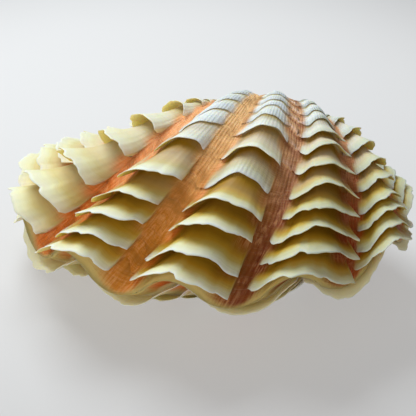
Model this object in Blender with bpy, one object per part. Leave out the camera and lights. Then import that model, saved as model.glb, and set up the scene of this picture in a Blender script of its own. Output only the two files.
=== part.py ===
"""Fluted giant clam shell, a closed pair of valves, built from its growth law.

Every point of a valve is a place across the fan (fold number s) at a growth
stage g. Stage g = 1 is the present margin; smaller stages are the same folded
margin, smaller and rotated about the hinge line, as the young shell left it.
Lengths are metres in the code and millimetres in the driving dimensions.
"""
import math

import bmesh
import bpy
import numpy as np
from mathutils import Matrix, Vector

# Fan. Even folds are ribs of the upper valve, odd folds ribs of the lower one.
S_LEFT = -4
S_RIGHT = 12
FAN_START = -7.1
FAN_RATE = 44.9
FAN_CURVE = 1.1
FAN_CUBE = 0.45
LENGTH_MID = 207.6
TWIST = 46.0

# Folding of the margin, crest height and groove depth at full size.
RIB_HEIGHT = 11.5
GROOVE_DEPTH = 8.0

# Valve body.
GAP = 0.36
LOWER_ARCH = 0.74
THICKNESS_EDGE = 4.0
THICKNESS_HINGE = 9.0
EDGE_WIDTH = 3.5
G_BEAK = 0.085
FOOT = 0.008

# Scales of the upper valve, per rib: attachment stages from the margin back,
# length of each scale, reach to its left and right, 1 being the bottom of the
# groove, share of the length left at the ends, and lean to the right.
STAGES = {
    -2: (0.93, 0.85, 0.77, 0.69, 0.61, 0.54, 0.48, 0.43, 0.38, 0.34, 0.31, 0.28),
    0: (0.925, 0.837, 0.741, 0.65, 0.562, 0.46, 0.40, 0.36, 0.335, 0.31, 0.29, 0.27),
    2: (0.950, 0.905, 0.845, 0.797, 0.73, 0.645, 0.575, 0.519, 0.46, 0.40, 0.35, 0.30),
    4: (0.945, 0.897, 0.831, 0.78, 0.735, 0.653, 0.582, 0.535, 0.49, 0.45, 0.40, 0.34),
    6: (0.951, 0.897, 0.851, 0.803, 0.749, 0.695, 0.638, 0.59, 0.533, 0.486, 0.43, 0.37),
    8: (0.956, 0.914, 0.86, 0.82, 0.76, 0.695, 0.624, 0.55, 0.47, 0.41, 0.36, 0.31),
    10: (0.94, 0.88, 0.81, 0.74, 0.67, 0.60, 0.53, 0.47, 0.41, 0.36, 0.32, 0.28),
}
LENGTHS = {
    -2: (18, 19, 20, 18, 16, 13, 10, 8, 6, 5, 3, 2),
    0: (21, 25, 27, 25, 21, 16, 9, 6, 4, 3, 2, 2),
    2: (22, 22, 22, 21, 21, 8, 5, 4, 3, 2.5, 2, 1.5),
    4: (22, 22, 22, 20, 6, 12, 7, 4, 3, 2.5, 2, 1.5),
    6: (20, 20, 19, 18, 16, 13, 11, 8, 5, 4, 3, 2),
    8: (17, 17, 16, 15, 14, 13, 11, 9, 7, 5, 3, 2),
    10: (12, 12, 11, 10, 9, 8, 7, 6, 5, 4, 3, 2),
}
REACH = {-2: (0.9, 0.9), 0: (0.8, 0.95), 2: (0.95, 0.68), 4: (0.9, 0.78), 6: (0.93, 0.86),
         8: (0.82, 0.85), 10: (0.8, 0.8)}
TIPS = {2: (0.42, 0.30)}
SWAY = {2: 0.35, 6: -0.15, 8: -0.5}
UPPER_SLOTS = 11

# Scales of the lower valve, whose ribs are the odd folds.
LOWER_STAGES = (0.95, 0.87, 0.79, 0.71, 0.63, 0.55, 0.47)
LOWER_LENGTHS = {-3: 8.0, -1: 15.0, 1: 15.0, 3: 9.0, 5: 9.0, 7: 11.0, 9: 10.0, 11: 6.0}
LOWER_FLARE = 0.5

# Pose of the resting pair.
TILT_X = -2.1
TILT_Y = -3.1
WORN_TIPS = 2.6

MM = 0.001


def smooth(x):
    """Ease from 0 to 1."""
    x = min(1.0, max(0.0, x))
    return x * x * (3.0 - 2.0 * x)


def fan_laws(s):
    """Direction, length, spiral tightness, arching and twist of fold s."""
    t = (s - 4.0) / 4.0
    angle = math.radians(FAN_START + FAN_RATE * t + FAN_CURVE * t * t + FAN_CUBE * t ** 3)
    bend = 0.066 if t < 0.0 else 0.103
    length = LENGTH_MID * (1.0 - 0.026 * t - bend * t * t - 0.002 * t ** 4)
    length *= 1.0 - 0.22 * max(0.0, abs(t) - 1.0) ** 2
    tight = 0.967 - 0.03 * t + 0.004 * t * t
    end = max(0.0, 1.0 - (abs(t) / 2.0) ** 4)
    arch = 1.1 * math.exp(-0.14 * t - 0.19 * t * t) * math.sqrt(end)
    return angle, length, tight, arch, math.radians(TWIST) * end


def fold_size(s):
    """How strongly the margin is folded at s, 0 at the two hinge ends."""
    left = smooth((s - S_LEFT) / 4.0)
    right = smooth((S_RIGHT - s) / 4.0)
    return min(left, right)


def fold(s, side):
    """Height of the folded margin at s, seen from the given valve."""
    c = math.cos(math.pi * s)
    up = RIB_HEIGHT * max(0.0, c) ** 0.85
    down = GROOVE_DEPTH * max(0.0, -c) ** 0.85
    return side * fold_size(s) * (up - down)


def body(s, g, height, side):
    """Point of the growth surface in mm, with the fold height given."""
    angle, length, tight, arch, twist = fan_laws(s)
    if side < 0:
        arch *= LOWER_ARCH * (LOWER_FLARE + (1.0 - LOWER_FLARE) * smooth((1.0 - g) / 0.35))
    turn = -math.log(g) / tight
    c = math.cos(turn)
    si = math.sin(turn)
    a = angle + twist * (1.0 - g)
    x = g * length * math.sin(a)
    y = -g * length * math.cos(a) * c + 0.5 * g * height * si * arch
    z = g * length * arch * si + g * height * c
    return np.array((x, y, z))


def frame_at(s, g, side):
    """Unit growth, outward and sideways directions of the unfolded surface."""
    d = 0.004
    ahead = body(s, min(1.0, g + d), 0.0, side) - body(s, g - d, 0.0, side)
    across = body(s + 0.02, g, 0.0, side) - body(s - 0.02, g, 0.0, side)
    out = np.cross(ahead, across)
    out /= np.linalg.norm(out)
    return ahead / np.linalg.norm(ahead), out, across / np.linalg.norm(across)


def stage_at(s, j, side):
    """Growth stage of scale slot j at s, flat over a rib, eased between ribs."""
    first = 0 if side > 0 else 1
    low = 2 * math.floor((s - first) / 2.0) + first
    part = smooth(((s - low) - 0.45) / 1.1)

    def rib(k):
        stages = LOWER_STAGES if side < 0 else STAGES[min(max(k, -2), 10)]
        return stages[j] if j < len(stages) else stages[-1] * 0.9

    return rib(low) * (1.0 - part) + rib(low + 2) * part


def scale_size(s, side, j):
    """Length of scale j at s, the signed place on its rib and the rib."""
    first = 0 if side > 0 else 1
    k = 2 * round((s - first) / 2.0) + first
    xi = s - k
    if k <= S_LEFT or k >= S_RIGHT or abs(xi) >= 1.0:
        return 0.0, xi, k
    length = LENGTHS[k][j] if side > 0 else 1.1 * LOWER_LENGTHS[k] * LOWER_STAGES[j] ** 2
    reach = (REACH[k] if side > 0 else (0.9, 0.9))[0 if xi < 0.0 else 1]
    far = abs(xi) / reach
    tip = TIPS.get(k if side > 0 else None, (0.42, 0.62))[0 if xi < 0.0 else 1]
    if far <= 0.95:
        q = 1.0 - (1.0 - tip) * (far / 0.95) ** 2
    else:
        q = tip * max(0.0, 1.0 - far) / 0.05
    return length * q, xi, k


def on_scale(s, side, j, t, thick):
    """Point at part t of scale j, from the foot behind it to its rim."""
    before = stage_at(s, j + 1, side) + FOOT
    g = stage_at(s, j, side)
    start = body(s, before, fold(s, side), side)
    onward = frame_at(s, before, side)[0]
    base = body(s, g, fold(s, side), side)
    ahead, normal, across = frame_at(s, g, side)
    size, xi, k = scale_size(s, side, j)
    sway = SWAY.get(k, 0.0) if side > 0 else 0.0
    lean = normal + across * (0.8 * xi + sway)
    lean /= np.linalg.norm(lean)
    free = smooth(size / 3.0)
    rim = base + ahead * (0.85 * size) + lean * (0.75 * size)
    span = np.linalg.norm(rim - start)
    tilt = math.radians(8.0 + 30.0 * smooth(size / 14.0))
    leave = onward * span
    arrive = (ahead * math.cos(tilt) + lean * math.sin(tilt)) * span * 1.15
    if thick > 0.0:
        t = 1.0 - (1.0 - t) * free
    p = ((2 * t ** 3 - 3 * t ** 2 + 1) * start + (t ** 3 - 2 * t ** 2 + t) * leave
         + (3 * t ** 2 - 2 * t ** 3) * rim + (t ** 3 - t ** 2) * arrive)
    slope = ((6 * t ** 2 - 6 * t) * (start - rim) + (3 * t ** 2 - 4 * t + 1) * leave
             + (3 * t ** 2 - 2 * t) * arrive)
    inward = np.cross(slope, across)
    return p - inward / np.linalg.norm(inward) * (thick * free)


def outside_rows(side):
    """Rows of the outside from beak to margin: rule, stage or scale, part and thickness."""
    rows = [("fixed", G_BEAK, 0.0, 0.0), ("fixed", 0.13, 0.0, 0.0), ("fixed", 0.19, 0.0, 0.0)]
    for j in reversed(range(UPPER_SLOTS if side > 0 else len(LOWER_STAGES))):
        rows.append(("scale", j, 0.0, 0.0))
        rows.append(("scale", j, 0.55, 0.0))
        rows.append(("scale", j, 1.0, 0.0))
        rows.append(("scale", j, 0.6, 2.0))
    rows.append(("foot", 0, 0.0, 0.0))
    rows.append(("fixed", 1.0, 0.0, 0.0))
    return rows


def columns():
    """Places across the fan that carry mesh lines, the same in both valves."""
    out = []
    for k in range(S_LEFT, S_RIGHT):
        out.append(float(k))
        if k % 2 == 0:
            reach = REACH[k][1] if k in REACH else 0.8
            out += [k + 0.45 * reach, k + 0.95 * reach]
        else:
            reach = REACH[k + 1][0] if k + 1 in REACH else 0.8
            out += [k + 1 - 0.95 * reach, k + 1 - 0.45 * reach]
    return out + [float(S_RIGHT)]


def inside_point(s, g, side, cavity):
    """Point of the inside: contact face, or the cavity wall above it."""
    p = body(s, g, 0.0, side)
    turn = -math.log(g) / fan_laws(s)[2]
    z = fold(s, side) * g * math.cos(turn)
    if cavity:
        part = min(1.0, (1.0 - g) / 0.6)
        wall = THICKNESS_EDGE + (THICKNESS_HINGE - THICKNESS_EDGE) * part
        z += max(0.0, p[2] - wall)
    return np.array((p[0], p[1], z))


def build_valve(name, side):
    """One valve as a closed mesh; side is 1 for the upper, -1 for the lower."""
    cols = columns()
    rows = outside_rows(side)
    grid = []
    for rule, value, part, thick in rows:
        line = []
        for s in cols:
            if rule == "scale":
                line.append(on_scale(s, side, value, part, thick))
            else:
                g = value if rule == "fixed" else stage_at(s, value, side) + FOOT
                line.append(body(s, g, fold(s, side), side))
        grid.append(line)
    edge_step = EDGE_WIDTH / LENGTH_MID
    inner = [(1.0 - edge_step, True), (0.93, True), (0.80, True), (0.66, True), (0.52, True),
             (0.40, True), (0.32, True), (0.295, False)]
    bm = bmesh.new()
    lift = np.array((0.0, 0.0, 0.5 * GAP))

    def vert(p):
        q = (p + lift) * MM
        return bm.verts.new((q[0], q[1], q[2] * side))

    outer = [[vert(p) for p in line] for line in grid]
    inside = []
    last = len(cols) - 1
    marks = []
    for g, cavity in inner:
        edge = min(range(len(rows)), key=lambda r: abs(np.linalg.norm(grid[r][0]) - g * np.linalg.norm(grid[-1][0])))
        if g > 0.97:
            edge = len(rows) - 1
        marks.append(edge)
        line = [None] * (last + 1)
        for c in range(1, last):
            line[c] = vert(inside_point(cols[c], g, side, cavity))
        inside.append(line)
    apex = vert(np.zeros(3))

    def face(*vs):
        vs = list(vs) if side > 0 else list(vs)[::-1]
        clean = []
        for v in vs:
            if v not in clean:
                clean.append(v)
        if len(clean) > 2:
            bm.faces.new(clean)

    for r in range(len(rows) - 1):
        for c in range(last):
            face(outer[r][c], outer[r + 1][c], outer[r + 1][c + 1], outer[r][c + 1])
    for c in range(last):
        face(apex, outer[0][c], outer[0][c + 1])
    for c in range(1, last - 1):
        face(outer[-1][c], inside[0][c], inside[0][c + 1], outer[-1][c + 1])
        for r in range(len(inner) - 1):
            face(inside[r][c], inside[r + 1][c], inside[r + 1][c + 1], inside[r][c + 1])
        face(inside[-1][c], apex, inside[-1][c + 1])
    top = len(rows) - 1
    start = top
    for i, line in enumerate(inside):
        stop = marks[i]
        above = outer[-1][1] if i == 0 else inside[i - 1][1]
        rim = [outer[r][0] for r in range(stop, start + 1)]
        face(*(rim + [above, line[1]]))
        above = outer[-1][last - 1] if i == 0 else inside[i - 1][last - 1]
        rim = [outer[r][last] for r in range(start, stop - 1, -1)]
        face(*(rim + [line[last - 1], above]))
        start = stop
    face(*([outer[r][0] for r in range(0, start + 1)] + [inside[-1][1], apex]))
    face(*([outer[r][last] for r in range(start, -1, -1)] + [apex, inside[-1][last - 1]]))
    bmesh.ops.remove_doubles(bm, verts=bm.verts[:], dist=1e-6)
    bmesh.ops.triangulate(bm, faces=bm.faces[:], quad_method="BEAUTY", ngon_method="EAR_CLIP")
    bmesh.ops.recalc_face_normals(bm, faces=bm.faces[:])
    mesh = bpy.data.meshes.new(name)
    bm.to_mesh(mesh)
    bm.free()
    obj = bpy.data.objects.new(name, mesh)
    bpy.context.scene.collection.objects.link(obj)
    return obj


def material(name, colour):
    """Plain shell colour for one node."""
    mat = bpy.data.materials.new(name)
    mat.use_nodes = True
    shader = mat.node_tree.nodes["Principled BSDF"]
    shader.inputs["Base Color"].default_value = (*colour, 1.0)
    shader.inputs["Roughness"].default_value = 0.6
    return mat


def wear_flat(obj, level):
    """Wear the scale tips flat below the given level, where the pair rests."""
    bm = bmesh.new()
    bm.from_mesh(obj.data)
    parts = bm.verts[:] + bm.edges[:] + bm.faces[:]
    bmesh.ops.bisect_plane(bm, geom=parts, dist=1e-6, plane_co=(0.0, 0.0, level),
                           plane_no=(0.0, 0.0, -1.0), clear_outer=True)
    rims = [e for e in bm.edges if e.is_boundary]
    bmesh.ops.holes_fill(bm, edges=rims, sides=0)
    bmesh.ops.triangulate(bm, faces=[f for f in bm.faces if len(f.verts) > 3])
    bmesh.ops.dissolve_degenerate(bm, dist=1e-5, edges=bm.edges[:])
    bmesh.ops.recalc_face_normals(bm, faces=bm.faces[:])
    bmesh.ops.triangulate(bm, faces=[f for f in bm.faces if len(f.verts) > 3])
    bm.to_mesh(obj.data)
    bm.free()


def pose(upper, lower):
    """Turn the closed pair into its resting pose on worn tips, on the ground."""
    turn = Matrix.Rotation(math.radians(TILT_Y), 4, "Y") @ Matrix.Rotation(math.radians(TILT_X), 4, "X")
    for obj in (upper, lower):
        obj.data.transform(turn)
    level = min(v.co.z for v in lower.data.vertices) + WORN_TIPS * MM
    wear_flat(lower, level)
    points = [v.co for obj in (upper, lower) for v in obj.data.vertices]
    mid_x = 0.5 * (min(p.x for p in points) + max(p.x for p in points))
    mid_y = 0.5 * (min(p.y for p in points) + max(p.y for p in points))
    shift = Vector((-mid_x, -mid_y, -level))
    for obj in (upper, lower):
        obj.data.transform(Matrix.Translation(shift))
    return shift


def main():
    """Build both valves."""
    for obj in list(bpy.data.objects):
        bpy.data.objects.remove(obj, do_unlink=True)
    upper = build_valve("upper_valve", 1)
    lower = build_valve("lower_valve", -1)
    upper.data.materials.append(material("shell_cream", (0.78, 0.70, 0.52)))
    lower.data.materials.append(material("shell_ochre", (0.66, 0.55, 0.36)))
    return pose(upper, lower)


SHIFT = main()
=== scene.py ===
"""Looks of a fluted giant clam shell, a closed pair of valves, on a pale studio floor.

Each valve is one sheet of mesh laid over the growth law of the shell. A point
has a fold number s across the fan and a growth stage g, 1 at the margin. The
ribs of the upper valve lie on even fold numbers, those of the lower valve on
odd ones. The sheet runs from the beak over every scale to the margin, and back
along the inside to the hinge. Lengths of the shell and of the camera are
millimetres; meshes and lamps are in metres.
"""
from __future__ import annotations

import logging
import math
from collections.abc import Callable
from dataclasses import dataclass, field
from enum import Enum

import bmesh
import bpy
import numpy as np
from mathutils import Matrix, Vector

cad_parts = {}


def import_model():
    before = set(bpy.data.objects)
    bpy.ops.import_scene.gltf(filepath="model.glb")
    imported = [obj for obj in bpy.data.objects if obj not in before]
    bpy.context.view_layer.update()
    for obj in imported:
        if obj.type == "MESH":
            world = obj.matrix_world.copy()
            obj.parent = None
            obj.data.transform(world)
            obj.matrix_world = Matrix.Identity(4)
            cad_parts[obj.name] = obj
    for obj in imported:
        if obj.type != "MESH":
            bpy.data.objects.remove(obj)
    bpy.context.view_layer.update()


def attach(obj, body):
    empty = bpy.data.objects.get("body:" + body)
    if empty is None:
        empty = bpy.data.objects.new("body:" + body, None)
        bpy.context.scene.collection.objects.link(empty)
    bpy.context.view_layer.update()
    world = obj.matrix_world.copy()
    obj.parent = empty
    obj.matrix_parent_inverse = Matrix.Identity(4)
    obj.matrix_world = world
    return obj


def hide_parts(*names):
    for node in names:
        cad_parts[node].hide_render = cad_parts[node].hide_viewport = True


LOG = logging.getLogger("clam")
Array = np.ndarray
Row = tuple[np.ndarray, np.ndarray, np.ndarray]
Pair = tuple[float, float]
Triple = tuple[float, float, float]
Socket = bpy.types.NodeSocket

# One millimetre in metres.
MM = 0.001
# Fold numbers of the two hinge ends.
S_LEFT = -4
S_RIGHT = 12
# Age of the margin, and the part of an age that the UV map holds.
MARGIN_AGE = 300.0
AGE_IN_UV = 0.1
# Scale length that the attribute "tall" counts as 1.
TALL_SCALE = 20.0
# Fold number of the steep groove right of the middle of the fan.
STEEP_GROOVE = 5.0
# Depth, turns and random key of the waves in a ring's growth stage.
STAGE_WAVES = ((0.0035, 5.0, 8), (0.0018, 13.0, 9))
# Turns and depth of the ripples along a rim.
RIPPLES = ((4.0, 0.055), (9.0, 0.035), (21.0, 0.025), (37.0, 0.018))
# Parts of a scale's length at which rows run, on its upper face and its underside.
UPPER_PARTS = (0.0, 0.06, 0.14, 0.23, 0.33, 0.43, 0.53, 0.63, 0.73, 0.82, 0.90, 0.96, 1.0)
UNDER_PARTS = (0.995, 0.9, 0.8, 0.7, 0.6, 0.5)
# Growth stages of the bare rows at the beak and of the rows inside.
BEAK_STAGES = (0.10, 0.12, 0.15, 0.18, 0.22)
INSIDE_STAGES = (0.95, 0.90, 0.82, 0.74, 0.66, 0.58, 0.50, 0.42, 0.36, 0.32)
HINGE_STAGES = (0.295, 0.20)


class Side(Enum):
    """The two halves of the shell; the value mirrors height and folds."""

    UPPER = 1
    LOWER = -1


def ease(x: Array) -> Array:
    """Ease from 0 to 1."""
    t = np.clip(x, 0.0, 1.0)
    return t * t * (3.0 - 2.0 * t)


def chance(*keys: Array | float) -> Array:
    """Repeatable value for a set of keys.

    Args:
        *keys: Up to three numbers or arrays of numbers.

    Returns:
        Values from -1 to 1.
    """
    mix = sum(np.asarray(k, float) * m for k, m in zip(keys, (12.9898, 78.233, 37.719)))
    raw = np.sin(mix + 4.1) * 43758.5453
    return 2.0 * (raw - np.floor(raw)) - 1.0


def unit(v: Array) -> Array:
    """Vectors of length one."""
    return v / np.maximum(np.linalg.norm(v, axis=-1, keepdims=True), 1e-12)


def valley(xi: Array) -> Array:
    """Depth in the groove from 0 on the rib to 1, kept narrow on the left of a rib."""
    return 0.5 - 0.5 * np.cos(np.pi * np.abs(xi) ** np.where(xi < 0.0, 1.5, 0.9))


def linear(hex_colour: str) -> tuple[float, float, float, float]:
    """Linear colour from a screen colour.

    Args:
        hex_colour: Screen colour such as e0c090.

    Returns:
        Red, green, blue and a full alpha.
    """
    parts = [int(hex_colour[i:i + 2], 16) / 255.0 for i in (0, 2, 4)]
    red, green, blue = (p / 12.92 if p <= 0.04045 else ((p + 0.055) / 1.055) ** 2.4 for p in parts)
    return red, green, blue, 1.0


@dataclass(frozen=True)
class FanLaw:
    """How the folded margin grows.

    Attributes:
        start_deg: Direction of the middle of the fan.
        rate_deg: Turn of the direction over a quarter of the fan.
        curve_deg: Square part of that turn; cube_deg is the cubic one.
        length: Length from beak to margin in the middle.
        twist_deg: Turn of the ribs about the beak as they grow.
        rib_height: Height of the margin on a rib.
        groove_depth: Depth of the margin in a groove.
        flare: Arching that a flat valve keeps at its margin.
    """

    start_deg: float = -7.1
    rate_deg: float = 44.9
    curve_deg: float = 1.1
    cube_deg: float = 0.45
    length: float = 207.6
    twist_deg: float = 46.0
    rib_height: float = 11.5
    groove_depth: float = 8.0
    flare: float = 0.5

    def measures(self, s: Array) -> tuple[Array, Array, Array, Array, Array]:
        """Shape values of fold s.

        Args:
            s: Fold numbers.

        Returns:
            Direction, length, tightness of the coil, arching and twist.
        """
        t = (s - 4.0) / 4.0
        turn_deg = self.start_deg + self.rate_deg * t + self.curve_deg * t * t + self.cube_deg * t ** 3
        bend = np.where(t < 0.0, 0.066, 0.103)
        length = self.length * (1.0 - 0.026 * t - bend * t * t - 0.002 * t ** 4)
        length = length * (1.0 - 0.22 * np.maximum(0.0, np.abs(t) - 1.0) ** 2)
        tight = 0.967 - 0.03 * t + 0.004 * t * t
        end = np.maximum(0.0, 1.0 - (np.abs(t) / 2.0) ** 4)
        arch = 1.1 * np.exp(-0.14 * t - 0.19 * t * t) * np.sqrt(end)
        return np.radians(turn_deg), length, tight, arch, math.radians(self.twist_deg) * end

    def fold_size(self, s: Array) -> Array:
        """How strongly the margin is folded at s, 0 at the two hinge ends."""
        return np.minimum(ease((s - S_LEFT) / 4.0), ease((S_RIGHT - s) / 4.0))

    def fold(self, s: Array, side: Side) -> Array:
        """Height of the folded margin at s, seen from one valve.

        Args:
            s: Fold numbers.
            side: The valve that looks at the fold.

        Returns:
            Heights in millimetres.
        """
        c = np.cos(np.pi * s)
        up = self.rib_height * np.maximum(0.0, c) ** 0.85
        down = self.groove_depth * np.maximum(0.0, -c) ** 0.85
        return side.value * self.fold_size(s) * (up - down)

    def point(self, s: Array, g: Array, height: Array, arching: float) -> Array:
        """Points of the growth surface.

        Args:
            s: Fold numbers.
            g: Growth stages.
            height: Fold heights to lay over the surface.
            arching: Depth of the valve against the upper one.

        Returns:
            One row of three coordinates for each point, in millimetres.
        """
        angle, length, tight, arch, twist = self.measures(s)
        arch = arch * arching
        if arching < 1.0:
            arch = arch * (self.flare + (1.0 - self.flare) * ease((1.0 - g) / 0.35))
        turn = -np.log(g) / tight
        c, si = np.cos(turn), np.sin(turn)
        a = angle + twist * (1.0 - g)
        x = g * length * np.sin(a)
        y = -g * length * np.cos(a) * c + 0.5 * g * height * si * arch
        z = g * length * arch * si + g * height * c
        return np.stack(np.broadcast_arrays(x, y, z), -1)

    def axes(self, s: Array, g: Array, arching: float) -> tuple[Array, Array, Array]:
        """Unit directions of the smooth surface.

        Args:
            s: Fold numbers.
            g: Growth stages.
            arching: Depth of the valve against the upper one.

        Returns:
            Directions of growth, of the outside and across the fan.
        """
        later, sooner = np.minimum(1.0, g + 0.004), g - 0.004
        ahead = self.point(s, later, 0.0, arching) - self.point(s, sooner, 0.0, arching)
        across = self.point(s + 0.02, g, 0.0, arching) - self.point(s - 0.02, g, 0.0, arching)
        out = np.cross(ahead, across)
        return unit(ahead), unit(out), unit(across)


@dataclass(frozen=True)
class RibScales:
    """Scales of one rib, from the margin to the beak.

    Attributes:
        reach: Part of the way to the groove that a scale covers, left and right.
        sway: Lean of the whole rib across the fan.
        tips: Part of its length that a scale keeps at its ends, left and right.
        spur: How far the right ends rise and reach out.
        hook: How far the right ends run on towards the margin.
        skew: Growth stage by which the left ends lie ahead and the right ones behind.
    """

    stages: tuple[float, ...]
    lengths: tuple[float, ...]
    reach: Pair = (0.9, 0.9)
    sway: float = 0.0
    tips: Pair = (0.42, 0.62)
    spur: float = 0.0
    hook: float = 0.0
    skew: float = 0.0


@dataclass(frozen=True)
class ScaleForm:
    """How every scale stands, in parts of its own length.

    Attributes:
        forward: Reach towards the margin.
        forward_low: What a low band loses of it.
        forward_end: What the ends of a scale add.
        forward_spur: What a spur adds.
        hook: Forward shift of a hooked end, in millimetres.
        height: Standing height.
        height_low: What a low band loses of it.
        spur: Rise and sideways reach of a spur.
        side_end: Sideways reach of the ends.
        tilt_deg: Lift of the rim on the shortest scales.
        tilt_low_deg: What a low band loses of it.
        tilt_tall_deg: What a tall scale adds.
        tilt_chance_deg: Most that chance adds or takes.
        swelling: Swelling of a low band at its root.
    """

    forward: float = 0.85
    forward_low: float = 0.45
    forward_end: float = 0.30
    forward_spur: float = 0.10
    hook: float = 5.0
    height: float = 0.75
    height_low: float = 0.63
    spur: float = 0.35
    side_end: float = 0.20
    tilt_deg: float = 8.0
    tilt_low_deg: float = 26.0
    tilt_tall_deg: float = 30.0
    tilt_chance_deg: float = 9.0
    swelling: float = 0.40


@dataclass(frozen=True)
class RestPose:
    """How the closed pair lies on the ground."""

    tilt_x_deg: float = -2.1
    tilt_y_deg: float = -3.1
    shift: Triple = (19.4, 101.149, 55.601)

    def matrix(self) -> Matrix:
        """Turn and shift of the pair.

        Returns:
            Matrix from the shell's own frame to the ground, in metres.
        """
        turn = Matrix.Rotation(math.radians(self.tilt_y_deg), 4, "Y")
        turn = turn @ Matrix.Rotation(math.radians(self.tilt_x_deg), 4, "X")
        return Matrix.Translation(Vector(self.shift) * MM) @ turn


class Nodes:
    """Short hand for the node tree of one material."""

    def __init__(self, name: str) -> None:
        """Start an empty tree with a Principled shader and an output.

        Args:
            name: Name of the material.
        """
        self.material = bpy.data.materials.new(name)
        self.material.use_nodes = True
        self.tree = self.material.node_tree
        self.shader = self.tree.nodes["Principled BSDF"]

    def add(self, kind: str, **settings: object) -> bpy.types.Node:
        """Add a node.

        Args:
            kind: Type of the node.
            **settings: The node's own properties.

        Returns:
            The new node.
        """
        node = self.tree.nodes.new(kind)
        for key, value in settings.items():
            setattr(node, key, value)
        return node

    def feed(self, socket: Socket, value: object) -> None:
        """Link a socket to another, or set its constant.

        Args:
            socket: Input to fill.
            value: Output to link, a constant, or a screen colour.
        """
        if isinstance(value, Socket):
            self.tree.links.new(value, socket)
        else:
            socket.default_value = linear(value) if isinstance(value, str) else value

    def math(self, operation: str, *values: object) -> Socket:
        """Result of a math node.

        Args:
            operation: What the node does.
            *values: Sockets or numbers, in the order of the inputs.

        Returns:
            The result.
        """
        node = self.add("ShaderNodeMath", operation=operation)
        for socket, value in zip(node.inputs, values):
            self.feed(socket, value)
        return node.outputs[0]

    def plus(self, first: object, second: object) -> Socket:
        """Sum of two values."""
        return self.math("ADD", first, second)

    def less(self, first: object, second: object) -> Socket:
        """First value less the second."""
        return self.math("SUBTRACT", first, second)

    def times(self, first: object, second: object) -> Socket:
        """Product of two values."""
        return self.math("MULTIPLY", first, second)

    def span(self, value: object, low: float, high: float, to: Pair = (0.0, 1.0)) -> Socket:
        """Smooth step of a value between two limits.

        Args:
            value: The value to look at.
            low: Where the step starts.
            high: Where it ends.
            to: What the step gives at its start and at its end.

        Returns:
            The stepped value.
        """
        node = self.add("ShaderNodeMapRange", interpolation_type="SMOOTHSTEP", clamp=True)
        self.feed(node.inputs["Value"], value)
        for name, number in zip(("From Min", "From Max", "To Min", "To Max"), (low, high, *to)):
            node.inputs[name].default_value = number
        return node.outputs[0]

    def blend(self, part: object, first: object, second: object, kind: str = "MIX") -> Socket:
        """Mix of two colours.

        Args:
            part: Part of the second colour, from 0 to 1.
            first: Colour where the part is 0.
            second: Colour where the part is 1.
            kind: Way of mixing.

        Returns:
            The mixed colour.
        """
        node = self.add("ShaderNodeMix", data_type="RGBA", blend_type=kind, clamp_factor=True)
        self.feed(node.inputs[0], part)
        self.feed(node.inputs[6], first)
        self.feed(node.inputs[7], second)
        return node.outputs[2]

    def noise(self, where: object, scale: float, detail: float, rough: float) -> Socket:
        """Soft noise at the given places.

        Args:
            where: Places to look at.
            scale: How fine the noise is.
            detail: How many finer layers it has.
            rough: How strong the finer layers are.

        Returns:
            Values around one half.
        """
        node = self.add("ShaderNodeTexNoise")
        self.feed(node.inputs["Vector"], where)
        node.inputs["Scale"].default_value = scale
        node.inputs["Detail"].default_value = detail
        node.inputs["Roughness"].default_value = rough
        return node.outputs[0]

    def ramp(self, value: object, stops: tuple[tuple[float, str], ...]) -> Socket:
        """Colour ramp.

        Args:
            value: Where to look on the ramp, from 0 to 1.
            stops: Place and screen colour of each stop.

        Returns:
            The colour there.
        """
        node = self.add("ShaderNodeValToRGB")
        self.feed(node.inputs[0], value)
        bar = node.color_ramp.elements
        while len(bar) < len(stops):
            bar.new(0.5)
        for element, (place, colour) in zip(bar, stops):
            element.position = place
            element.color = linear(colour)
        return node.outputs[0]


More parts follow.
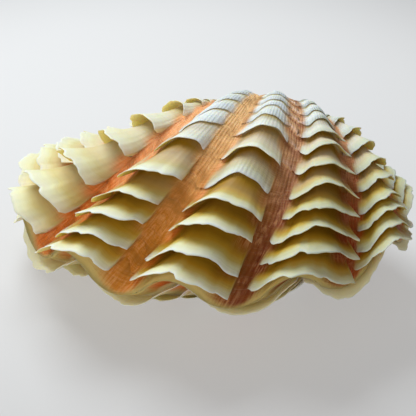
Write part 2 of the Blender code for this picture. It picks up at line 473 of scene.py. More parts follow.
class Grain:
    """What a shell material reads from its piece, and the patterns laid over it.

    Attributes:
        age: Age in the UV map, 30 at the margin.
        stretch: Way along a scale, from its root at 0 to its rim at 1.
        under: 1 on the underside of a scale.
        groove: Depth in the groove, 1 at its bottom.
        share: 1 on a scale, 0 on the wall beside it.
        size: Length of the scales around, 1 for a tall one.
        young: 1 near the beak, 0 near the margin.
        ridge: Riblets along the growth.
        fine: Fine streaks along the growth.
        lines: Growth lines across the ribs.
        steps: Broad growth bands across the ribs.
        patch: Large patches in the grooves.
    """

    def __init__(self, name: str, riblets: float) -> None:
        """Start the material, read the piece and lay the patterns.

        Args:
            name: Name of the material.
            riblets: Fine ribs to one fold.
        """
        n = self.nodes = Nodes(name)
        growth = n.add("ShaderNodeSeparateXYZ")
        n.feed(growth.inputs[0], n.add("ShaderNodeUVMap", uv_map="growth").outputs[0])
        self.fold, self.age, _ = growth.outputs
        marks = n.add("ShaderNodeAttribute", attribute_name="marks")
        parts = n.add("ShaderNodeSeparateColor")
        n.feed(parts.inputs[0], marks.outputs["Color"])
        self.stretch, self.under, self.groove = parts.outputs
        self.share = n.span(marks.outputs["Alpha"], 0.05, 0.35)
        self.size = n.add("ShaderNodeAttribute", attribute_name="tall").outputs["Fac"]
        self.young = n.span(self.age, 14.0, 27.0, (1.0, 0.0))
        self.mottle = n.noise(n.add("ShaderNodeTexCoord").outputs["Object"], 42.0, 5.0, 0.6)
        warp = n.times(self.streaks(3.5, 0.30, 3.0, 0.55), 4.0)
        wave = n.math("SINE", n.plus(n.times(self.fold, 2.0 * math.pi * riblets), warp))
        self.ridge = n.plus(0.5, n.times(wave, 0.5))
        self.fine = self.streaks(30.0, 0.8, 3.0, 0.6)
        self.lines = self.streaks(1.3, 8.0, 4.0, 0.75)
        self.steps = self.streaks(0.4, 1.6, 2.0, 0.5)
        self.patch = self.streaks(1.7, 0.45, 2.0, 0.5)

    def streaks(self, across: float, along: float, detail: float, rough: float) -> Socket:
        """Noise that runs with the growth.

        Args:
            across: How fine it is across the folds.
            along: How fine it is along the growth.
            detail: How many finer layers it has.
            rough: How strong they are.

        Returns:
            Values around one half.
        """
        n = self.nodes
        where = n.add("ShaderNodeCombineXYZ")
        n.feed(where.inputs[0], n.times(self.fold, across))
        n.feed(where.inputs[1], n.times(self.age, along))
        return n.noise(where.outputs[0], 1.0, detail, rough)


@dataclass(frozen=True)
class ShellFinish:
    """Grown shell: cream scales with olive painted shade in their hollows, and orange, finely ribbed
    grooves.

    Attributes:
        name: Name of the material.
        rim: Edge of a scale; ivory, cream, straw, hollow and root_shade follow to its root, the olive
            hollow and root_shade being painted shade beneath the scale above.
        lining: Underside towards the rim; root_shade, painted shade, is its root too.
        riblets: Fine ribs to one fold.
        grooves: Tones of the grooves, from the left end of the fan to the right.
    """

    name: str
    rim: str = "e4e9e2"
    ivory: str = "e2e1ca"
    cream: str = "ddd7aa"
    straw: str = "c4ac58"
    hollow: str = "b88f26"
    root_shade: str = "9c7416"
    lining: str = "e2d08a"
    riblets: float = 10.0
    grooves: tuple[tuple[float, str], ...] = (
        (0.05, "ea9c52"), (0.22, "f59a44"), (0.30, "f58a30"), (0.375, "c8983e"),
        (0.44, "dcae5e"), (0.475, "f8882e"), (0.53, "a07838"), (0.566, "7a3410"),
        (0.60, "8a4216"), (0.69, "b4561a"), (0.78, "dc6a28"), (0.92, "e58e44"))

    def scales(self, r: Grain) -> Socket:
        """Colour of the scales and of the wall outside the grooves.

        Args:
            r: Values read from the piece.

        Returns:
            The colour.
        """
        n = r.nodes
        # Along each scale the colour runs from olive at the root, painted shade beneath the scale
        # above, to white at the rim.
        edge = n.plus(r.stretch, n.times(n.less(r.mottle, 0.5), 0.14))
        top = n.ramp(edge, ((0.38, self.root_shade), (0.56, self.hollow), (0.70, self.straw),
                            (0.82, self.cream), (0.95, self.ivory), (1.0, self.rim)))
        # Low bands near the beak are bleached, with a line of painted shade at each root, beneath the
        # band above.
        pale = n.blend(n.span(r.mottle, 0.3, 0.7), "c0c0a2", "e0e6e6")
        pale = n.blend(n.span(edge, 0.03, 0.16, (0.75, 0.0)), pale, "a88a3c")
        low = n.times(n.times(n.span(r.size, 0.20, 0.50, (1.0, 0.0)), 0.95), r.young)
        top = n.blend(low, top, pale)
        # Upper faces near the beak are bleached, and are also painted paler and cooler as painted
        # light from above.
        upper = n.span(r.age, 16.0, 25.5, (0.72, 0.0))
        top = n.blend(n.times(upper, n.span(r.stretch, 0.1, 0.6)), top, "e9ebe2")
        # The left of the fan is creamier, and the rims on its right are dulled with painted shade,
        # away from the light on the left.
        top = n.blend(n.span(r.fold, 1.6, 0.2, (0.0, 0.42)), top, "e6dfb2")
        right_rim_shade = n.times(n.span(r.fold, 4.6, 6.0, (0.0, 0.62)), n.span(r.stretch, 0.6, 0.9))
        top = n.blend(right_rim_shade, top, "c6cabc", "MULTIPLY")
        bare = n.blend(n.span(r.age, 8.0, 20.0), "ddd2ae", "ccb06a")
        top = n.blend(r.share, bare, top)

        # Undersides darken to olive painted shade at the root; near the beak and on short scales they
        # are lightened, as painted light in their shade.
        below = n.blend(n.span(r.stretch, 0.4, 0.95), self.root_shade, self.lining)
        below = n.blend(n.times(upper, 0.8), below, "efe4b0")
        below = n.blend(n.span(r.size, 0.15, 0.5), "ded6b4", below)
        both = n.blend(r.under, top, below)
        return n.blend(n.times(n.span(r.lines, 0.42, 0.75), 0.07), both, "b39a58", "MULTIPLY")

    def interspaces(self, r: Grain) -> Socket:
        """Colour of the grooves.

        Args:
            r: Values read from the piece.

        Returns:
            The colour.
        """
        n = r.nodes
        place = n.math("DIVIDE", n.plus(r.fold, -S_LEFT), S_RIGHT - S_LEFT)
        tone = n.ramp(place, self.grooves)
        # Away from the beak, and most on the right of the fan, the grooves are darker and more
        # saturated as painted shade; near the beak they are paler.
        groove_shade = n.blend(n.span(r.fold, 0.0, 3.0, (0.45, 0.93)), tone, "f8bc28", "MULTIPLY")
        tone = n.blend(r.young, groove_shade, n.blend(0.48, tone, "f2c298"))
        # Riblets, fine streaks and growth lines.
        net = n.times(r.ridge, n.span(r.lines, 0.36, 0.62, (1.0, 0.35)))
        tone = n.blend(n.times(net, n.span(r.age, 13.0, 26.0, (0.42, 0.12))), tone, "f6c486")
        tone = n.blend(n.times(n.span(r.fine, 0.50, 0.72), 0.30), tone, "9a5212")
        tone = n.blend(n.times(n.span(r.lines, 0.50, 0.64), 0.40), tone, "a45a1c")
        arcs = n.times(n.span(r.lines, 0.46, 0.36), n.span(r.age, 14.0, 27.0, (0.42, 0.09)))
        tone = n.blend(arcs, tone, "f4d2a8")
        # Pink bands in the steep groove, with painted shadow at the root of each ledge.
        steep = n.span(n.math("ABSOLUTE", n.less(r.fold, STEEP_GROOVE)), 0.55, 0.25)
        steep = n.times(steep, n.span(r.age, 17.0, 23.0, (1.0, 0.0)))
        root = n.times(steep, n.span(r.stretch, 0.35, 0.02, (0.0, 0.65)))
        crest = n.times(steep, n.span(r.stretch, 0.60, 0.95, (0.0, 0.60)))
        tone = n.blend(crest, n.blend(root, tone, "8a3c20"), "f2cbb8")
        # Large brown patches with light streaks beside them.
        tone = n.blend(n.span(r.patch, 0.42, 0.68, (0.0, 0.50)), tone, "8c5814")
        glow = n.times(n.span(r.fine, 0.54, 0.42), n.span(r.patch, 0.56, 0.40, (0.0, 0.35)))
        return n.blend(glow, tone, "f0b47c")

    def stain(self, r: Grain) -> Socket:
        """Where the tone of the grooves covers the wall.

        Args:
            r: Values read from the piece.

        Returns:
            Part of the groove's colour.
        """
        n = r.nodes
        stain = n.plus(r.groove, n.times(n.less(r.fine, 0.5), 0.22))
        stain = n.span(stain, 0.38, 0.80)
        sheet = n.times(n.times(r.share, n.span(r.stretch, 0.25, 0.62)), n.span(r.size, 0.2, 0.5))
        stain = n.times(stain, n.less(1.0, n.times(sheet, 0.9)))
        return n.times(stain, n.less(1.0, r.under))

    def relief(self, r: Grain) -> Socket:
        """Height of riblets and growth lines, calmer on tall scales.

        Args:
            r: Values read from the piece.

        Returns:
            Heights for the bump node.
        """
        n = r.nodes
        relief = n.plus(n.times(r.ridge, 0.55), n.times(r.lines, 1.5))
        relief = n.plus(relief, n.times(r.fine, 0.35))
        calm = n.times(n.span(r.size, 0.25, 0.6), n.less(1.0, r.groove))
        relief = n.times(relief, n.less(1.0, n.times(calm, 0.85)))
        relief = n.times(relief, n.less(1.0, n.times(r.share, 0.5)))
        return n.plus(relief, n.times(r.steps, 0.8))

    def make(self) -> bpy.types.Material:
        """Build the material.

        Returns:
            The finished material, which reads the piece's UV map and marks.
        """
        r = Grain(self.name, self.riblets)
        n = r.nodes
        inputs = n.shader.inputs
        colour = n.blend(self.stain(r), self.scales(r), self.interspaces(r))
        n.feed(inputs["Base Color"], colour)
        n.feed(inputs["Roughness"], n.plus(0.40, n.times(r.mottle, 0.2)))
        bump = n.add("ShaderNodeBump")
        bump.inputs["Strength"].default_value = 0.8
        bump.inputs["Distance"].default_value = 0.0008
        n.feed(bump.inputs["Height"], self.relief(r))
        n.feed(inputs["Normal"], bump.outputs[0])
        inputs["Subsurface Weight"].default_value = 0.32
        inputs["Subsurface Radius"].default_value = (1.0, 0.62, 0.25)
        inputs["Subsurface Scale"].default_value = 0.006
        inputs["Specular IOR Level"].default_value = 0.2
        return n.material


@dataclass(frozen=True)
class Ring:
    """One ring of scales around the fan, ready to be cut into rows.

    Attributes:
        ends: Where the sheet starts and how it leaves, its rim and how it arrives there.
        size: Length of the scale at each column.
        free: 0 where no scale stands, 1 where one stands free.
        whole: Full length of the scale.
        root: Growth stage where the sheet starts.
    """

    ends: tuple[Array, Array, Array, Array]
    across: Array
    size: Array
    free: Array
    whole: Array
    groove: Array
    root: Array
    stage: Array

    def row(self, t: float, thick: float, under: float) -> Row:
        """One row of the ring; the underside folds away where there is no scale.

        Args:
            t: Part of the way from root to rim.
            thick: Thickness there, before short scales thin it.
            under: 1 on the underside, 0.5 on the rim, 0 on the upper face.

        Returns:
            Points, marks and age of the row.
        """
        part = 1.0 - (1.0 - t) * self.free if under else t
        p = np.broadcast_to(part, self.size.shape)[:, None]
        start, leave, rim, arrive = self.ends
        where = ((2 * p ** 3 - 3 * p ** 2 + 1) * start + (p ** 3 - 2 * p ** 2 + p) * leave
                 + (3 * p ** 2 - 2 * p ** 3) * rim + (p ** 3 - p ** 2) * arrive)
        slope = ((6 * p ** 2 - 6 * p) * (start - rim) + (3 * p ** 2 - 4 * p + 1) * leave
                 + (3 * p ** 2 - 2 * p) * arrive)
        depth = thick * self.free * np.minimum(0.8, self.size / 12.0)
        points = where - unit(np.cross(slope, self.across)) * depth[:, None]
        share = np.clip(self.size / np.maximum(self.whole, 1.0), 0.0, 1.0)
        marks = np.stack(np.broadcast_arrays(t, under * self.free, self.groove, share), -1)
        age = MARGIN_AGE * (self.root + (self.stage - self.root) * t) + 0.6 * self.whole * t
        return points, marks, age

    def rows(self) -> list[Row]:
        """Rows along the upper face, over the rim and back under it.

        Returns:
            The rows in the order in which the sheet runs.
        """
        rows = [self.row(t, 0.0, 0.0) for t in UPPER_PARTS]
        rows.append(self.row(1.0, 0.4, 0.5))
        return rows + [self.row(t, 0.8 + 2.2 * (1.0 - t), 1.0) for t in UNDER_PARTS]


@dataclass
class Valve:
    """One valve: its ribs of scales, its wall and its inside, as one closed sheet.

    Attributes:
        node: Name of the solid that it stands for.
        ribs: Scales of each rib, by fold number.
        arching: Depth against the upper valve.
        beak: Growth stage where the sheet starts.
        foot: Growth stage from a scale to the root of the next one.
        step: Height of the step at each ring.
        ledges: How much higher the steps are in the steep groove.
        gap: Gap between the two valves.
        edge_width: Width of the margin's flat edge.
        wall: Wall thickness at the margin and at the hinge.
        columns: Columns of the mesh to one fold.
    """

    node: str
    side: Side
    ribs: dict[int, RibScales]
    finish: ShellFinish
    law: FanLaw = field(default_factory=FanLaw)
    form: ScaleForm = field(default_factory=ScaleForm)
    arching: float = 1.0
    beak: float = 0.085
    foot: float = 0.008
    step: float = 0.25
    ledges: float = 4.0
    gap: float = 0.36
    edge_width: float = 3.5
    wall: Pair = (4.0, 9.0)
    columns: int = 20

    @property
    def first_rib(self) -> int:
        """A fold number that has a rib on this valve."""
        return 0 if self.side is Side.UPPER else 1

    def places(self) -> Array:
        """Fold numbers of the mesh columns, denser where the scales end.

        Returns:
            Rising fold numbers from one hinge end to the other.
        """
        step = np.linspace(0.0, 1.0, self.columns + 1)[:-1]
        bend = 0.05 * np.sin(2.0 * np.pi * step)
        # Right of a rib the scales end about halfway to the groove, left of it close to the groove.
        whole = [k + (step + bend if k % 2 == self.first_rib else step - bend)
                 for k in range(S_LEFT, S_RIGHT)]
        return np.append(np.concatenate(whole), float(S_RIGHT))

    def near_rib(self, s: Array) -> tuple[Array, Array]:
        """Nearest rib of this valve.

        Args:
            s: Fold numbers.

        Returns:
            Fold number of the rib, and the signed place on it.
        """
        rib = 2 * np.round((s - self.first_rib) / 2.0).astype(int) + self.first_rib
        return rib, s - rib

    def each(self, rib: Array, read: Callable[[RibScales], float]) -> Array:
        """Value of the rib at each column, 0 where there is no rib."""
        return np.array([read(self.ribs[k]) if k in self.ribs else 0.0 for k in rib])

    def stage(self, s: Array, slot: int) -> Array:
        """Growth stage of a ring: flat over a rib but for skew and waves, eased between ribs.

        Args:
            s: Fold numbers.
            slot: Scale number, 0 at the margin.

        Returns:
            Growth stages.
        """
        low = (2 * np.floor((s - self.first_rib) / 2.0)).astype(int) + self.first_rib
        part = ease(((s - low) - 0.45) / 1.1)
        ends = min(self.ribs), max(self.ribs)

        def at(rib: int) -> float:
            """Stage on one rib."""
            stages = self.ribs[min(max(rib, ends[0]), ends[1])].stages
            return stages[slot] if slot < len(stages) else stages[-1] * 0.9

        below = np.array([at(k) for k in low])
        above = np.array([at(k + 2) for k in low])
        rib, xi = self.near_rib(s)
        wave = sum(depth * np.sin(turns * xi + 3.0 * chance(rib, slot, key))
                   for depth, turns, key in STAGE_WAVES)
        shift = self.each(rib, lambda scales: scales.skew) * -xi + wave
        # No shift in the grooves, nor where the ring comes close to the margin.
        shift = shift * ease((1.0 - np.abs(xi)) / 0.25) * ease((0.99 - above) / 0.05)
        return below * (1.0 - part) + above * part + shift

    def scale_size(self, s: Array, slot: int) -> tuple[Array, Array, Array]:
        """Length of the scales of one ring.

        Args:
            s: Fold numbers.
            slot: Scale number, 0 at the margin.

        Returns:
            Lengths in millimetres, signed place on the rib and part of the reach.
        """
        rib, xi = self.near_rib(s)
        left = xi < 0.0
        size = np.zeros_like(s)
        far = np.ones_like(s)
        for k, scales in self.ribs.items():
            here = rib == k
            # The scales nearest to the margin reach a little wider.
            wide = 1.0 + 0.05 * chance(k, slot, 7) + 0.12 * max(0.0, 1.0 - slot / 3.0)
            part = np.abs(xi) / np.minimum(0.97, np.where(left, *scales.reach) * wide)
            tip = np.where(left, *scales.tips)
            q = 1.0 - (1.0 - tip) * np.minimum(part / 0.95, 1.0) ** np.where(left, 1.8, 3.0)
            q = q * (1.0 - ease((part - 0.86) / 0.14))
            ripple = sum(depth * np.sin(turns * xi + 3.0 * chance(k, slot, turns))
                         for turns, depth in RIPPLES)
            chip = 0.10 * ease((np.sin(11.0 * xi + 9.0 * chance(k, slot, 6)) - 0.72) / 0.2)
            lively = 1.0 + 0.06 * chance(k, slot, 3) + ripple - chip
            length = scales.lengths[slot] if slot < len(scales.lengths) else 0.0
            size = np.where(here, length * q * lively, size)
            far = np.where(here, np.minimum(part, 1.0), far)
        return size, xi, far

    def ring(self, s: Array, slot: int) -> Ring:
        """One ring of scales.

        Args:
            s: Fold numbers of the columns.
            slot: Scale number, 0 at the margin.

        Returns:
            The ring, with the course of its sheet.
        """
        form = self.form
        g = self.stage(s, slot)
        before = self.stage(s, slot + 1) + self.foot
        size, xi, far = self.scale_size(s, slot)
        rib, _ = self.near_rib(s)
        whole = self.each(rib, lambda scales: scales.lengths[slot])
        fold = self.law.fold(s, self.side)
        ahead, out, across = self.law.axes(s, g, self.arching)
        sway = self.each(rib, lambda scales: scales.sway)
        lean = unit(out + across * (0.8 * xi + sway)[:, None])
        start = self.law.point(s, before, fold, self.arching)
        onward = self.law.axes(s, before, self.arching)[0]
        base = self.law.point(s, g, fold, self.arching)
        free = ease(size / 3.0)
        low = ease((9.0 - whole) / 5.0)
        # Spurs and hooks grow on the right ends only.
        spur = self.each(rib, lambda scales: scales.spur) * (xi > 0.0) * far ** 6
        hook = self.each(rib, lambda scales: scales.hook) * (xi > 0.0) * far ** 5 * free
        forward = form.forward - form.forward_low * low + form.forward_end * far ** 4
        forward = size * (forward + form.forward_spur * spur) + form.hook * hook * (1.0 - low)
        ledge = 1.0 + self.ledges * np.exp(-((s - STEEP_GROOVE) / 0.35) ** 2) * ease((0.76 - g) / 0.1)
        height = size * (form.height - form.height_low * low + form.spur * spur)
        height = height + self.step * self.law.fold_size(s) * ledge
        sideways = size * (form.side_end * np.sign(xi) * far ** 4 + form.spur * spur)
        rim = base + ahead * forward[:, None] + lean * height[:, None] + across * sideways[:, None]
        span = np.linalg.norm(rim - start, axis=-1, keepdims=True)
        tilt = form.tilt_deg - form.tilt_low_deg * low + form.tilt_tall_deg * ease(size / 14.0)
        tilt = np.radians(tilt + form.tilt_chance_deg * chance(rib, slot, 5) * free)
        leave = unit(onward + out * (form.swelling * low * free)[:, None]) * span
        arrive = (ahead * np.cos(tilt)[:, None] + lean * np.sin(tilt)[:, None]) * span * 1.15
        return Ring((start, leave, rim, arrive), across, size, free, whole, valley(xi), before, g)

    def bare_row(self, s: Array, g: Array, stretch: float, fade: float = 1.0) -> Row:
        """One row on the bare growth surface.

        Args:
            s: Fold numbers of the columns.
            g: Growth stages.
            stretch: Mark that sets how light the row is.
            fade: Strength of the groove's mark.

        Returns:
            Points, marks and age of the row.
        """
        groove = valley(self.near_rib(s)[1]) * fade
        marks = np.stack(np.broadcast_arrays(stretch, 0.0, groove, 0.0), -1)
        points = self.law.point(s, g, self.law.fold(s, self.side), self.arching)
        return points, marks, MARGIN_AGE * g

    def inside_row(self, s: Array, g: float, hollow: bool) -> Row:
        """One row of the contact face or the inner wall.

        Args:
            s: Fold numbers of the columns.
            g: Growth stage.
            hollow: True where the inside is arched.

        Returns:
            Points, marks and age of the row.
        """
        stage = np.full_like(s, g)
        points = self.law.point(s, stage, 0.0, self.arching)
        turn = -np.log(stage) / self.law.measures(s)[2]
        z = self.law.fold(s, self.side) * stage * np.cos(turn)
        if hollow:
            thick = self.wall[0] + (self.wall[1] - self.wall[0]) * min(1.0, (1.0 - g) / 0.6)
            z = z + np.maximum(0.0, points[:, 2] - thick)
        points[:, 2] = z
        marks = np.stack(np.broadcast_arrays(0.8, 0.0, np.zeros_like(s), 1.0), -1)
        return points, marks, MARGIN_AGE * stage

    def lengths_near(self, s: Array, g: Array) -> Array:
        """Length of the scales around each place, 1 for a tall scale.

        Args:
            s: Fold numbers of the columns.
            g: Growth stages, one row of the sheet for each row.

        Returns:
            Lengths, eased from rib to rib.
        """
        place = (s - self.first_rib) / 2.0
        low = np.floor(place)
        part = ease((place - low - 0.2) / 0.6)
        low = low * 2 + self.first_rib
        result = np.zeros_like(g)
        for k, scales in self.ribs.items():
            here = np.interp(g, scales.stages[::-1], scales.lengths[::-1]) / TALL_SCALE
            result += here * ((low == k) * (1.0 - part) + (low + 2 == k) * part)
        return result

    def sheet(self, s: Array) -> tuple[Array, Array, Array, Array]:
        """All rows of the valve.

        Args:
            s: Fold numbers of the columns.

        Returns:
            Points, marks, ages and scale lengths, one entry for each row.
        """
        bare = np.ones_like(s)
        apex = (np.zeros((len(s), 3)), self.bare_row(s, self.beak * bare, 0.4)[1], np.zeros_like(s))
        rows = [apex] + [self.bare_row(s, g * bare, 0.6) for g in (self.beak, *BEAK_STAGES)]
        for slot in reversed(range(max(len(scales.stages) for scales in self.ribs.values()))):
            rows += self.ring(s, slot).rows()
        foot = self.stage(s, 0) + self.foot
        for r in (0.0, 0.35, 0.7, 1.0):
            edge = foot + (1.0 - foot) * r
            rows.append(self.bare_row(s, edge, 0.60 + 0.28 * r, 1.0 - 0.5 * r ** 3))
        for g in (1.0 - self.edge_width / self.law.length, *INSIDE_STAGES):
            rows.append(self.inside_row(s, g, True))
        # From the hinge line the sheet closes through points halfway to the beak.
        hinge, last = (self.inside_row(s, g, False) for g in HINGE_STAGES)
        rows += [hinge, (hinge[0] * 0.5, last[1], last[2]), apex]
        points, marks, age = (np.array(part) for part in zip(*rows))
        return points, marks, age, self.lengths_near(s, age / MARGIN_AGE)

    def grid(self, wide: int, high: int) -> tuple[bpy.types.Mesh, Array, Array]:
        """Flat grid of faces.

        Args:
            wide: Number of columns.
            high: Number of rows.

        Returns:
            The mesh, and the column and row of each of its points.
        """
        bm = bmesh.new()
        bmesh.ops.create_grid(bm, x_segments=wide - 1, y_segments=high - 1, size=1.0)
        mesh = bpy.data.meshes.new(f"{self.node}_grown")
        bm.to_mesh(mesh)
        bm.free()
        flat = np.empty(len(mesh.vertices) * 3)
        mesh.vertices.foreach_get("co", flat)
        flat = flat.reshape(-1, 3)
        low = flat.min(0)
        spread = flat.max(0) - low
        column = np.rint((flat[:, 0] - low[0]) / spread[0] * (wide - 1)).astype(int)
        row = np.rint((flat[:, 1] - low[1]) / spread[1] * (high - 1)).astype(int)
        return mesh, column, row

    def build(self, pose: RestPose) -> bpy.types.Object:
        """Make the valve where it rests.

        Args:
            pose: Resting pose of the pair.

        Returns:
            The dressed object.
        """
        s = self.places()
        points, marks, age, lengths = self.sheet(s)
        mesh, column, row = self.grid(len(s), points.shape[0])
        grown = points[row, column] + np.array((0.0, 0.0, 0.5 * self.gap))
        grown[:, 2] *= self.side.value
        mesh.vertices.foreach_set("co", (grown * MM).ravel())
        tall = mesh.attributes.new("tall", "FLOAT", "POINT")
        tall.data.foreach_set("value", lengths[row, column].astype(np.float32))
        layer = mesh.attributes.new("marks", "FLOAT_COLOR", "POINT")
        layer.data.foreach_set("color", marks[row, column].astype(np.float32).ravel())
        corner = np.empty(len(mesh.loops), dtype=np.int32)
        mesh.loops.foreach_get("vertex_index", corner)
        growth = np.stack((s[column], age[row, column] * AGE_IN_UV), -1)[corner]
        for old in list(mesh.uv_layers):
            mesh.uv_layers.remove(old)
        mesh.uv_layers.new(name="growth").data.foreach_set("uv", growth.astype(np.float32).ravel())
        mesh.transform(pose.matrix())
        self.close(mesh)
        mesh.polygons.foreach_set("use_smooth", np.ones(len(mesh.polygons), dtype=bool))
        mesh.materials.append(self.finish.make())
        piece = bpy.data.objects.new(f"{self.node}_grown", mesh)
        bpy.context.scene.collection.objects.link(piece)
        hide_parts(self.node)
        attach(piece, "root")
        LOG.info("%s: %d faces", piece.name, len(mesh.polygons))
        return piece

    def close(self, mesh: bpy.types.Mesh) -> None:
        """Weld poles and seams, wear the resting tips flat, and turn the faces outwards.

        Args:
            mesh: The sheet in its resting pose; changed in place.
        """
        bm = bmesh.new()
        bm.from_mesh(mesh)
        rims = [v for v in bm.verts if v.is_boundary]
        bmesh.ops.remove_doubles(bm, verts=rims, dist=1e-6)
        bmesh.ops.holes_fill(bm, edges=[e for e in bm.edges if e.is_boundary], sides=0)
        if self.side is Side.LOWER:
            parts = bm.verts[:] + bm.edges[:] + bm.faces[:]
            bmesh.ops.bisect_plane(bm, geom=parts, dist=1e-7, plane_co=(0.0, 0.0, 0.0),
                                   plane_no=(0.0, 0.0, -1.0), clear_outer=True)
            bmesh.ops.holes_fill(bm, edges=[e for e in bm.edges if e.is_boundary], sides=0)
        bmesh.ops.recalc_face_normals(bm, faces=bm.faces[:])
        bm.to_mesh(mesh)
        bm.free()


@dataclass(frozen=True)
class Lamp:
    """One square soft light that looks at the shell.

    Attributes:
        spot: Place in metres.
        power: Watts.
        size: Side in metres.
    """

    name: str
    spot: Triple
    power: float
    size: float
    colour: Triple

    def build(self) -> None:
        """Add the light to the scene."""
        data = bpy.data.lights.new(self.name, "AREA")
        data.energy, data.size, data.color = self.power, self.size, self.colour
        light = bpy.data.objects.new(self.name, data)
        light.location = self.spot
        aim = Vector((0.0, 0.0, 0.06)) - Vector(self.spot)
        light.rotation_euler = aim.to_track_quat("-Z", "Y").to_euler()
        bpy.context.scene.collection.objects.link(light)


@dataclass(frozen=True)
class Studio:
    """Pale floor with painted light on it, a soft light high behind on the left, a weaker one in
    front, and the camera.

    Attributes:
        azimuth: Turn of the camera about the shell; it and the next two are in radians.
        distance: Way from the aim to the camera.
        aim: Point of the shell's own frame that the camera goes around.
        offset: Where the aim lies off the middle of the picture, in points.
        focal_points: Focal length in the same points.
        floor_tone: Screen colour of the floor at its brightest.
        floor_glow: Strength of the floor's own glow, painted light that lifts its shadows.
        light_pool_spot: Middle of the floor's painted pool of light, in metres.
        light_pool_span: Where the floor's painted light starts and stops fading, in metres from there.
        light_pool_parts: Brightness of the painted light at those two.
    """

    focal: float = 77.88
    azimuth: float = 0.1372
    elevation: float = 0.4972
    roll: float = -0.0095
    distance: float = 669.98
    aim: Triple = (0.0, -95.0, 20.0)
    offset: Pair = (22.16, -17.64)
    focal_points: float = 900.0
    lamps: tuple[Lamp, ...] = (
        Lamp("key", (-0.48, 0.46, 1.08), 16.5, 0.8, (0.90, 0.97, 1.0)),
        Lamp("front", (-0.5, -1.3, 0.6), 7.5, 1.2, (1.0, 0.96, 0.90)))
    floor_tone: str = "a6a5a5"
    floor_glow: float = 0.34
    light_pool_spot: Triple = (-0.05, 0.28, 0.0)
    light_pool_span: Pair = (0.25, 0.95)
    light_pool_parts: Pair = (1.0, 0.50)

    def camera(self, pose: RestPose) -> None:
        """Place the camera, given in the shell's own frame.

        Args:
            pose: Resting pose of the pair.
        """
        a, e, r = self.azimuth, self.elevation, self.roll
        back = Vector((math.sin(a) * math.cos(e), -math.cos(a) * math.cos(e), math.sin(e)))
        level = Vector((math.cos(a), math.sin(a), 0.0))
        steep = back.cross(level)
        right = level * math.cos(r) + steep * math.sin(r)
        up = steep * math.cos(r) - level * math.sin(r)
        spot = (Vector(self.aim) + back * self.distance) * MM
        turn = Matrix((right, up, back)).transposed().to_4x4()
        data = bpy.data.cameras.new("camera")
        data.lens, data.sensor_width = self.focal, 36.0
        data.clip_start, data.clip_end = 0.01, 20.0
        eye = bpy.data.objects.new("camera", data)
        bpy.context.scene.collection.objects.link(eye)
        pan = Matrix.Rotation(math.atan(self.offset[0] / self.focal_points), 4, "Y")
        tip = Matrix.Rotation(math.atan(self.offset[1] / self.focal_points), 4, "X")
        eye.matrix_world = pose.matrix() @ Matrix.Translation(spot) @ turn @ pan @ tip
        bpy.context.scene.camera = eye

    def floor(self) -> None:
        """Wide pale floor with painted light: a pool that darkens away from the shell, and a glow of
        its own.
        """
        bm = bmesh.new()
        bmesh.ops.create_grid(bm, x_segments=1, y_segments=1, size=6.0)
        mesh = bpy.data.meshes.new("floor")
        bm.to_mesh(mesh)
        bm.free()
        n = Nodes("floor_pale")
        inputs = n.shader.inputs
        offset = n.add("ShaderNodeVectorMath", operation="SUBTRACT")
        n.feed(offset.inputs[0], n.add("ShaderNodeTexCoord").outputs["Object"])
        offset.inputs[1].default_value = self.light_pool_spot
        length = n.add("ShaderNodeVectorMath", operation="LENGTH")
        n.feed(length.inputs[0], offset.outputs["Vector"])
        # Painted pool of light: the floor's colour and glow fade away from the spot.
        floor_light_pool = n.span(length.outputs["Value"], *self.light_pool_span, self.light_pool_parts)
        n.feed(inputs["Base Color"], n.blend(floor_light_pool, "000000", self.floor_tone))
        n.feed(inputs["Emission Color"], n.blend(floor_light_pool, "000000", "ffffff"))
        inputs["Emission Strength"].default_value = self.floor_glow
        inputs["Roughness"].default_value = 0.85
        inputs["Specular IOR Level"].default_value = 0.1
        mesh.materials.append(n.material)
        floor = bpy.data.objects.new("floor", mesh)
        bpy.context.scene.collection.objects.link(floor)

    def build(self, pose: RestPose) -> None:
        """Make floor, lights, sky and camera.

        Args:
            pose: Resting pose of the pair.
        """
        self.floor()
        for lamp in self.lamps:
            lamp.build()
        world = bpy.data.worlds.new("sky")
        bpy.context.scene.world = world
        world.use_nodes = True
        sky = world.node_tree.nodes["Background"]
        sky.inputs["Color"].default_value = (0.97, 0.98, 1.0, 1.0)
        sky.inputs["Strength"].default_value = 0.30
        bpy.context.scene.view_settings.view_transform = "Standard"
        self.camera(pose)


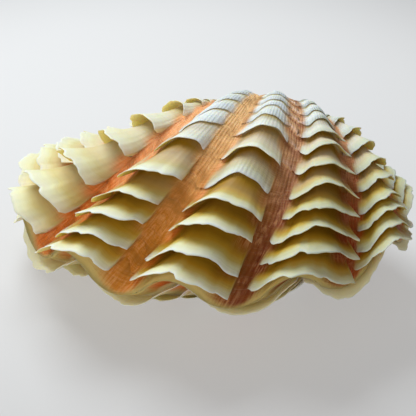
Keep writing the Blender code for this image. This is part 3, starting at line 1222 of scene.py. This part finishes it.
def upper_ribs() -> dict[int, RibScales]:
    """Ribs of the upper valve by fold number, left to right.

    Returns:
        Scales of each rib.
    """
    return {
        -2: RibScales(
            (0.93, 0.85, 0.77, 0.69, 0.61, 0.54, 0.48, 0.43, 0.38, 0.34, 0.31, 0.28),
            (18, 19, 20, 16, 12, 8, 6, 5, 4, 3, 2, 2)),
        0: RibScales(
            (0.925, 0.837, 0.741, 0.65, 0.562, 0.46, 0.40, 0.36, 0.335, 0.31, 0.29, 0.27),
            (21, 25, 26, 20, 14, 9, 7, 5, 4, 3, 2, 2),
            reach=(0.72, 0.74), tips=(0.25, 0.5), hook=0.8),
        2: RibScales(
            (0.950, 0.905, 0.845, 0.797, 0.73, 0.645, 0.575, 0.519, 0.46, 0.40, 0.35, 0.30),
            (22, 22, 22, 21, 21, 8, 5, 4, 3, 2.5, 2, 1.5),
            reach=(0.95, 0.63), sway=0.35, tips=(0.08, 0.20), hook=1.8, skew=0.035),
        4: RibScales(
            (0.945, 0.897, 0.831, 0.78, 0.735, 0.653, 0.582, 0.535, 0.49, 0.45, 0.40, 0.34),
            (22, 22, 22, 20, 6, 12, 7, 4, 3, 2.5, 2, 1.5),
            reach=(0.92, 0.74), tips=(0.08, 0.30), spur=0.4, hook=1.9),
        6: RibScales(
            (0.951, 0.897, 0.851, 0.803, 0.749, 0.695, 0.638, 0.59, 0.533, 0.486, 0.43, 0.37),
            (20, 20, 19, 18, 16, 13, 11, 8, 5, 4, 3, 2),
            reach=(0.90, 0.78), sway=-0.15, tips=(0.06, 0.78), spur=0.8),
        8: RibScales(
            (0.956, 0.914, 0.86, 0.82, 0.76, 0.695, 0.624, 0.55, 0.47, 0.41, 0.36, 0.31),
            (17, 17, 16, 15, 14, 13, 11, 9, 7, 5, 3, 2),
            reach=(0.96, 0.85), sway=-0.5, tips=(0.06, 0.62)),
        10: RibScales(
            (0.94, 0.88, 0.81, 0.74, 0.67, 0.60, 0.53, 0.47, 0.41, 0.36, 0.32, 0.28),
            (12, 12, 11, 10, 9, 8, 7, 6, 5, 4, 3, 2),
            reach=(0.8, 0.8)),
    }


def lower_ribs() -> dict[int, RibScales]:
    """Ribs of the lower valve by fold number, left to right; lengths shrink towards the beak.

    Returns:
        Scales of each rib.
    """
    stages = (0.95, 0.87, 0.79, 0.71, 0.63, 0.55, 0.47)
    tall = {-3: 8.0, -1: 15.0, 1: 15.0, 3: 9.0, 5: 9.0, 7: 11.0, 9: 10.0, 11: 6.0}
    return {rib: RibScales(stages, tuple(height * 1.1 * g * g for g in stages))
            for rib, height in tall.items()}


def main() -> None:
    """Dress the two valves and light them."""
    logging.basicConfig(level=logging.INFO, format="%(name)s %(message)s")
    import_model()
    pose = RestPose()
    Valve("upper_valve", Side.UPPER, upper_ribs(), ShellFinish("shell_upper")).build(pose)
    # The lower valve's root, hollow and underside colours are lighter: weaker painted shade, and
    # painted light where the upper valve shades it.
    pale = ShellFinish("shell_lower", root_shade="c0ac70", hollow="d6c890", lining="e6dfbc")
    Valve("lower_valve", Side.LOWER, lower_ribs(), pale, arching=0.74).build(pose)
    Studio().build(pose)
    bpy.context.view_layer.update()
    LOG.info("floor, lights and camera")


if __name__ == "__main__":
    main()
